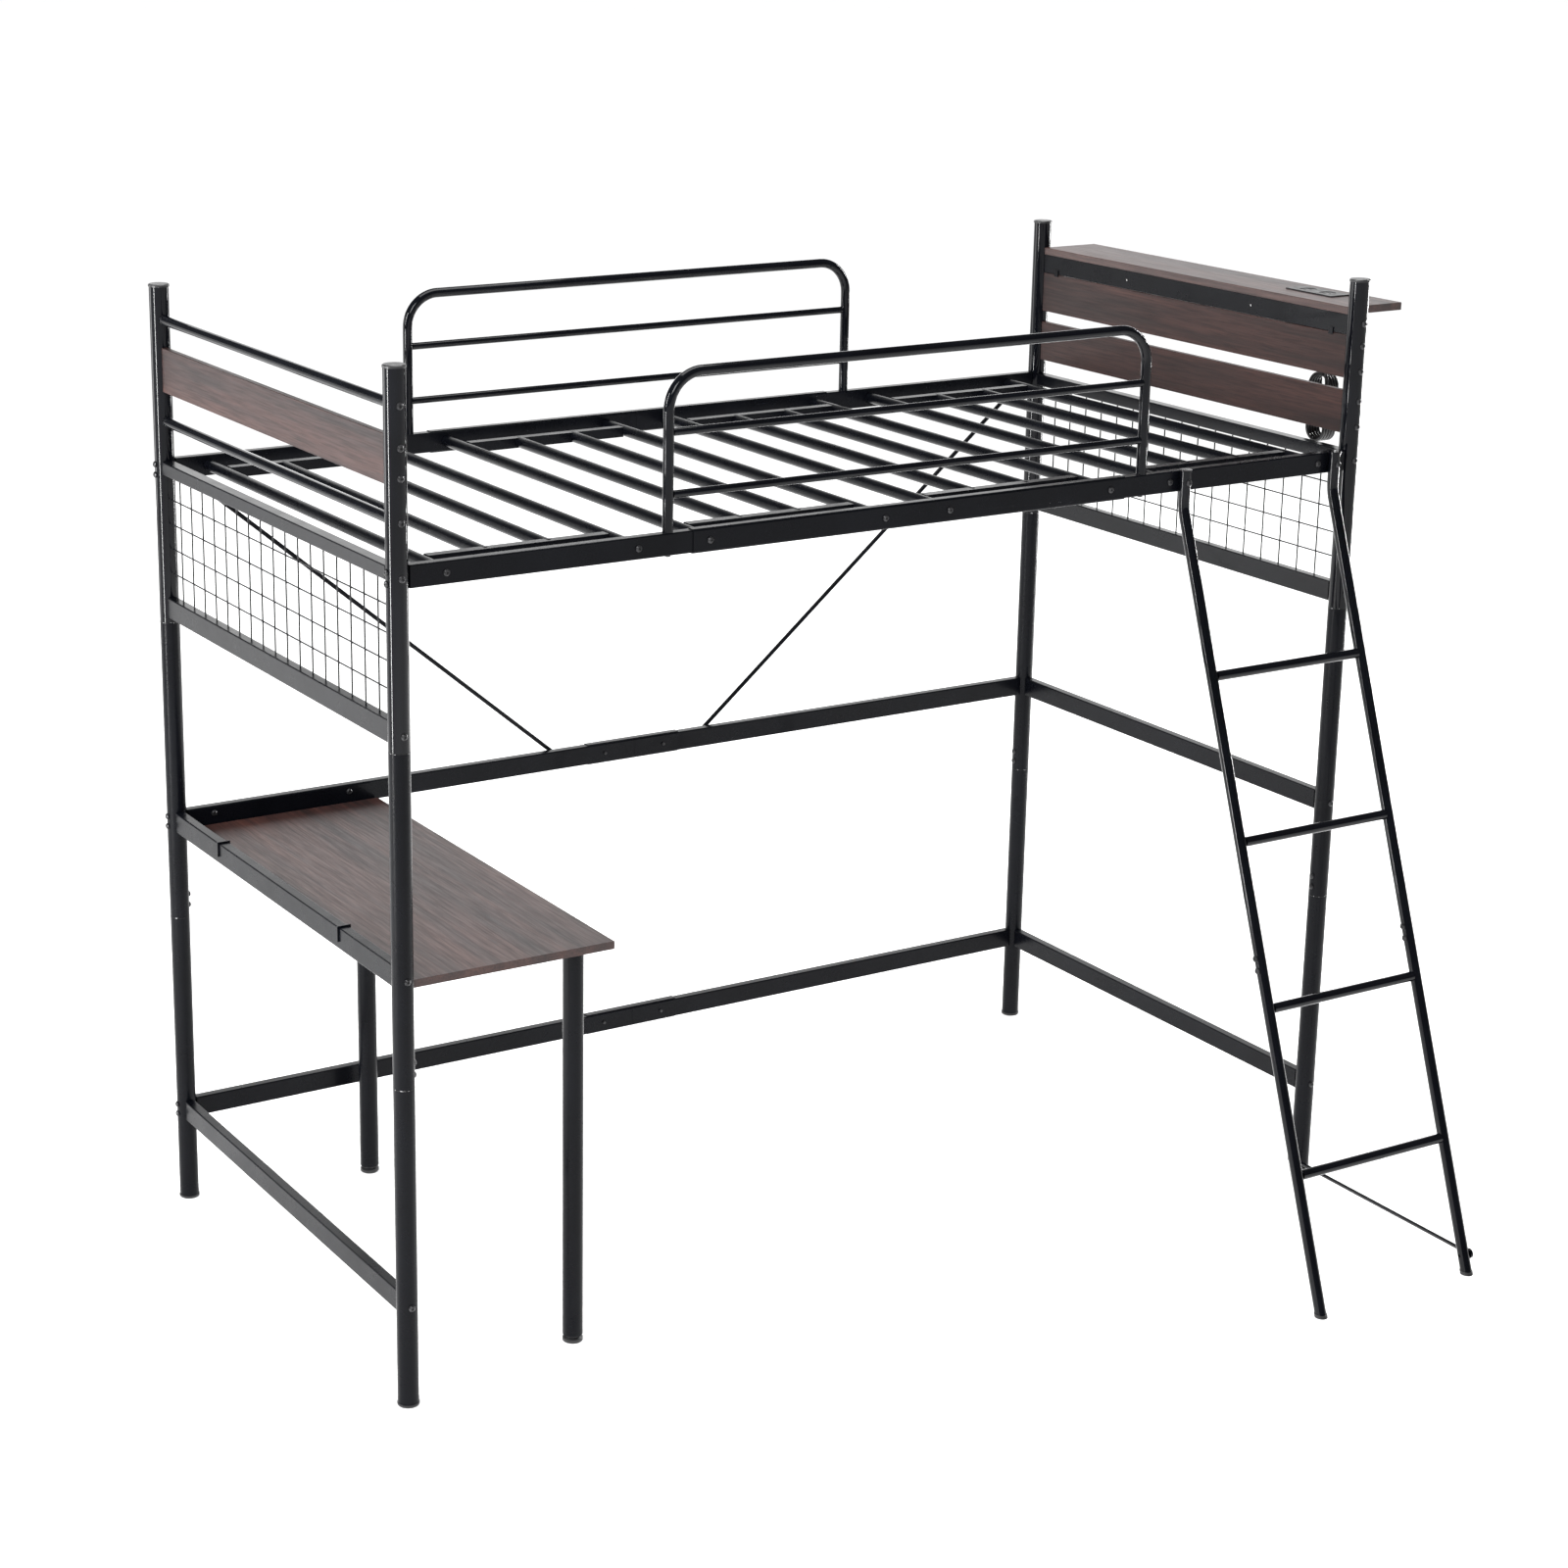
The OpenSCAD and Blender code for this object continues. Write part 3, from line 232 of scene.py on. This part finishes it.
def plastic(name, base, rough, grain, depth):
    """Moulded plastic with a fine spark-eroded texture, its grain's bumps of the given depth."""
    look = Shader(name)
    cloud = look.noise(scale=30.0, detail=2.0)
    colour = look.ramp(cloud, [(0.3, dimmed(base, 0.8)), (0.7, dimmed(base, 1.25))])
    uneven = look.spread(look.noise(scale=80.0), 0.3, 0.7, rough - 0.05, rough + 0.07)
    texture = look.noise(scale=grain, detail=2.0)
    return look.set(Base_Color=colour, Roughness=uneven, Specular_IOR_Level=0.45,
                    Normal=look.bump(texture, strength=0.2, distance=depth))


def bolt_steel(name):
    """Black oxide steel, mottled dark and pale."""
    look = Shader(name)
    colour = look.ramp(look.noise(scale=150.0), [(0.35, OXIDE_DARK), (0.75, OXIDE_PALE)])
    rough = look.spread(look.noise(scale=300.0), 0.3, 0.7, 0.24, 0.38)
    return look.set(Base_Color=colour, Metallic=0.55, Roughness=rough,
                    Normal=look.bump(look.noise(scale=800.0), strength=0.1, distance=0.0001))


GLOSS = steel_coat("coat_gloss", rough_low=0.10, rough_high=0.15, shine=0.05, coat=0.34)
SATIN = steel_coat("coat_satin", rough_low=0.24, rough_high=0.33, shine=0.085, coat=0.03)
WIRE = steel_coat("coat_wire", rough_low=0.26, rough_high=0.34, shine=0.15, coat=0.05)
WOOD_TOP = walnut("walnut_top", seed=1.0, light=0.9, sheen=0.46)
WOOD_SHELF = walnut("walnut_shelf", seed=2.0, light=0.9, sheen=0.6)
WOOD_BOARD = walnut("walnut_board", seed=3.0, light=0.8, sheen=0.26)
CAP = plastic("cap_plastic", (0.010, 0.010, 0.011), rough=0.38, grain=900.0, depth=0.0001)
HOUSING = plastic("housing_plastic", (0.012, 0.012, 0.013), rough=0.42, grain=1400.0, depth=0.0001)
JACKET = plastic("cord_jacket", (0.009, 0.009, 0.010), rough=0.36, grain=700.0, depth=0.00008)
BOLT = bolt_steel("bolt_steel")


def material_for(node):
    """The material of a CAD node, or None for power_cord and cord_hank, which cord_run replaces."""
    if node == "desk_top":
        return WOOD_TOP
    if node == "shelf_board":
        return WOOD_SHELF
    if "board" in node:
        return WOOD_BOARD
    if "bolts" in node or "stud" in node:
        return BOLT
    if "caps" in node or "pad" in node or node == "ladder_feet":
        return CAP
    if node in ("outlet_unit", "strain_relief", "power_plug", "cord_tie"):
        return HOUSING
    if "mesh" in node:
        return WIRE
    if node.endswith("upper") or "guard" in node or "ladder" in node or node == "foot_tubes":
        return GLOSS
    return None if "cord" in node else SATIN


for node in NODES:
    material = material_for(node)
    if material is not None:
        NODES[node].data.materials.clear()
        NODES[node].data.materials.append(material)

# ---------- post joints ----------

JOINT_HEIGHTS = (0.6, 1.2)
# A seam stands 0.25 mm proud of the 38 mm post, and its chamfers run into the post
SEAM_RADIUS = 0.01925
SEAM_HALF_HEIGHT = 0.0009
SEAM_SINK = 0.0004
SEAM_CHAMFER = 0.0003
SEAM_SIDES = 64
SEAM_DARK = (0.0015, 0.0015, 0.0018)
# The colour of the joint's bright marks: painted glints, given a bare-steel metal finish
SEAM_GLINT = (0.55, 0.55, 0.56)


def seam_with_glints():
    """The paint's broken line at a post joint: dark, with painted glints in short bright marks, given a
    bare-steel metal finish.
    """
    look = Shader("joint_seam")
    # Where the noise peaks, short marks of painted glint, shaded as bare metal
    glint = look.spread(look.noise(scale=170.0, detail=2.0), 0.60, 0.66, 0.0, 1.0)
    colour = look.mix(glint, SEAM_DARK, SEAM_GLINT)
    return look.set(Base_Color=colour, Metallic=glint, Roughness=0.3, Specular_IOR_Level=0.2)


def ring_band(shape, centre, height):
    """A band with chamfered edges round a post, at a height on the post's axis."""
    low = height - SEAM_HALF_HEIGHT
    high = height + SEAM_HALF_HEIGHT
    profile = ((SEAM_RADIUS - SEAM_SINK, low), (SEAM_RADIUS, low + SEAM_CHAMFER),
               (SEAM_RADIUS, high - SEAM_CHAMFER), (SEAM_RADIUS - SEAM_SINK, high))
    rows = [[shape.verts.new((centre.x + radius * math.cos(math.tau * k / SEAM_SIDES),
                              centre.y + radius * math.sin(math.tau * k / SEAM_SIDES), z))
             for k in range(SEAM_SIDES)] for radius, z in profile]
    for under, over in zip(rows, rows[1:] + rows[:1]):
        for k in range(SEAM_SIDES):
            after = (k + 1) % SEAM_SIDES
            shape.faces.new((under[k], under[after], over[after], over[k]))


def make_seams():
    """Both joints' bands on each of the four posts, as one piece."""
    shape = bmesh.new()
    for corner in ("fl", "bl", "fr", "br"):
        low, high = (Vector(end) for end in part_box(f"post_{corner}_upper"))
        centre = Vector(((low.x + high.x) / 2, (low.y + high.y) / 2, 0.0))
        for height in JOINT_HEIGHTS:
            ring_band(shape, centre, height)
    bmesh.ops.recalc_face_normals(shape, faces=shape.faces)
    mesh = bpy.data.meshes.new("joint_seams")
    shape.to_mesh(mesh)
    shape.free()
    mesh.materials.append(seam_with_glints())
    seams = bpy.data.objects.new("joint_seams", mesh)
    SCENE.collection.objects.link(seams)
    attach(seams, "frame")


make_seams()

# ---------- power cord ----------

# The points listed, the same as in part.scad: from the relief to the hank, and on to the plug
LEAD = [(1.042, -0.080, 1.712), (1.042, -0.080, 1.698), (1.041, -0.081, 1.684), (1.040, -0.083, 1.668),
        (1.039, -0.087, 1.652), (1.038, -0.091, 1.636), (1.038, -0.094, 1.620)]
TAIL = [(1.066, -0.046, 1.620), (1.066, -0.046, 1.640), (1.066, -0.052, 1.661), (1.066, -0.067, 1.676),
        (1.066, -0.088, 1.682), (1.066, -0.108, 1.676), (1.066, -0.123, 1.661), (1.066, -0.129, 1.640),
        (1.066, -0.129, 1.626), (1.066, -0.129, 1.612)]
CORD_RADIUS = 0.0035
# The hank's middle across the bed, and the heights where its folds begin
HANK_Y = -0.070
HANK_LOW_ARC = 1.526
HANK_HIGH_ARC = 1.612
HANK_TURNS = 5
SIDE_STEPS = 10
FOLD_STEPS = 16


def smooth(points, parts=5):
    """Catmull-Rom through the points, its ends along the first and last stretches."""
    places = [Vector(p) for p in points]
    places = [2 * places[0] - places[1]] + places + [2 * places[-1] - places[-2]]
    line = []
    for a, b, c, d in zip(places, places[1:], places[2:], places[3:]):
        for k in range(parts):
            t = k / parts
            line.append(0.5 * (2 * b + (c - a) * t + (2 * a - 5 * b + 4 * c - d) * t * t
                               + (3 * b - 3 * c + d - a) * t ** 3))
    return line + [places[-2]]


def hank_turns():
    """Down one side, round the low fold, up the other side and over, a step along X each turn."""
    start = Vector(LEAD[-1])
    stop = Vector(TAIL[0])
    half = (stop.y - start.y) / 2
    step = (stop.x - start.x) / (HANK_TURNS - 1)
    run = HANK_HIGH_ARC - HANK_LOW_ARC
    side = [run * k / SIDE_STEPS for k in range(SIDE_STEPS)]
    fold = [(half * math.cos(math.pi * k / FOLD_STEPS), half * math.sin(math.pi * k / FOLD_STEPS))
            for k in range(FOLD_STEPS + 1)]
    line = []
    for turn in range(HANK_TURNS):
        x = start.x + step * turn
        line += [(x, HANK_Y - half, HANK_HIGH_ARC - gone) for gone in side]
        line += [(x, HANK_Y - across, HANK_LOW_ARC - out) for across, out in fold]
        line += [(x, HANK_Y + half, HANK_LOW_ARC + gone) for gone in side[1:]]
        if turn < HANK_TURNS - 1:
            line += [(x + step * k / FOLD_STEPS, HANK_Y + across, HANK_HIGH_ARC + out)
                     for k, (across, out) in enumerate(fold[:-1])]
    return [Vector(p) for p in line]


def cord_line():
    """The cord's centreline in metres: down from the relief, the hank, then over to the plug."""
    return smooth(LEAD) + hank_turns() + smooth(TAIL)


def make_cord():
    """The whole cord as one piece, in place of the CAD's short cord and its solid hank."""
    line = cord_line()
    data = bpy.data.curves.new("cord_run", "CURVE")
    data.dimensions = "3D"
    data.bevel_depth = CORD_RADIUS
    data.bevel_resolution = 5
    data.use_fill_caps = True
    spline = data.splines.new("POLY")
    spline.points.add(len(line) - 1)
    for point, place in zip(spline.points, line):
        point.co = (*place, 1.0)
    spline.use_smooth = True
    data.materials.append(JACKET)
    run = bpy.data.objects.new("cord_run", data)
    SCENE.collection.objects.link(run)
    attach(run, "frame")
    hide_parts("power_cord", "cord_hank")


make_cord()

# ---------- floor and light ----------

FLOOR_REACH = 110
# The floor lies this far under the feet, so that the two don't share a plane
FLOOR_DROP = 0.0005
FLOOR_DIM = (0.925, 0.925, 0.925)
FLOOR_BRIGHT = (0.94, 0.94, 0.94)
WORLD_SEEN = 1.0
WORLD_LIGHT = 1.12
WORLD_MIRRORED = 0.12


def make_floor():
    mesh = bpy.data.meshes.new("floor")
    corners = [(x * FLOOR_REACH, y * FLOOR_REACH, 0) for x, y in ((-1, -1), (1, -1), (1, 1), (-1, 1))]
    mesh.from_pydata(corners, [], [(0, 1, 2, 3)])
    floor = bpy.data.objects.new("floor", mesh)
    floor.location.z = -FLOOR_DROP
    SCENE.collection.objects.link(floor)
    look = Shader("floor")
    colour = look.ramp(look.noise(scale=0.6), [(0.2, FLOOR_DIM), (0.8, FLOOR_BRIGHT)])
    mesh.materials.append(look.set(Base_Color=colour, Roughness=0.9, Specular_IOR_Level=0.1))


def soft_box(name, place, target, width, height, power):
    """An area light at a place, facing a target; the camera doesn't see it."""
    data = bpy.data.lights.new(name, "AREA")
    data.shape = "RECTANGLE"
    data.size = width
    data.size_y = height
    data.energy = power
    lamp = bpy.data.objects.new(name, data)
    SCENE.collection.objects.link(lamp)
    lamp.location = place
    lamp.visible_camera = False
    lamp.rotation_euler = (Vector(target) - Vector(place)).to_track_quat("-Z", "Y").to_euler()


def make_world():
    """White all round; what the glossy metal mirrors is dimmer, as in a studio with black flags."""
    world = bpy.data.worlds.new("studio")
    SCENE.world = world
    world.use_nodes = True
    tree = world.node_tree

    def background(shade, colour, strength):
        shade.inputs["Color"].default_value = (*colour, 1.0)
        shade.inputs["Strength"].default_value = strength
        return shade.outputs[0]

    def choice(ray, otherwise, when_so):
        mixer = tree.nodes.new("ShaderNodeMixShader")
        for socket, source in zip(mixer.inputs, (rays.outputs[ray], otherwise, when_so)):
            tree.links.new(source, socket)
        return mixer.outputs[0]

    rays = tree.nodes.new("ShaderNodeLightPath")
    seen = background(tree.nodes["Background"], (1.0, 1.0, 1.0), WORLD_SEEN)
    light = background(tree.nodes.new("ShaderNodeBackground"), (1.0, 1.0, 1.0), WORLD_LIGHT)
    mirrored = background(tree.nodes.new("ShaderNodeBackground"), (0.97, 0.98, 1.0), WORLD_MIRRORED)
    unseen = choice("Is Glossy Ray", light, mirrored)
    tree.links.new(choice("Is Camera Ray", unseen, seen), tree.nodes["World Output"].inputs["Surface"])


make_floor()
make_world()
soft_box("key", (-3.2, -4.2, 4.6), (0, 0, 0.9), width=2.0, height=2.0, power=170)
soft_box("right strip", (4.8, 0.6, 1.9), (0, 0, 1.1), width=0.20, height=3.8, power=260)
soft_box("top", (0.0, 0.4, 5.0), (0, 0, 0), width=3.0, height=2.4, power=130)
soft_box("left strip", (-4.6, 0.1, 1.9), (0, 0, 1.1), width=0.20, height=3.8, power=280)
soft_box("back card", (3.0, 6.0, 2.6), (0, 0, 0.9), width=8.0, height=4.4, power=210)
soft_box("left card", (-5.2, 5.2, 1.6), (-1.0, 0, 1.4), width=2.0, height=3.0, power=120)
SCENE.view_settings.view_transform = "Standard"
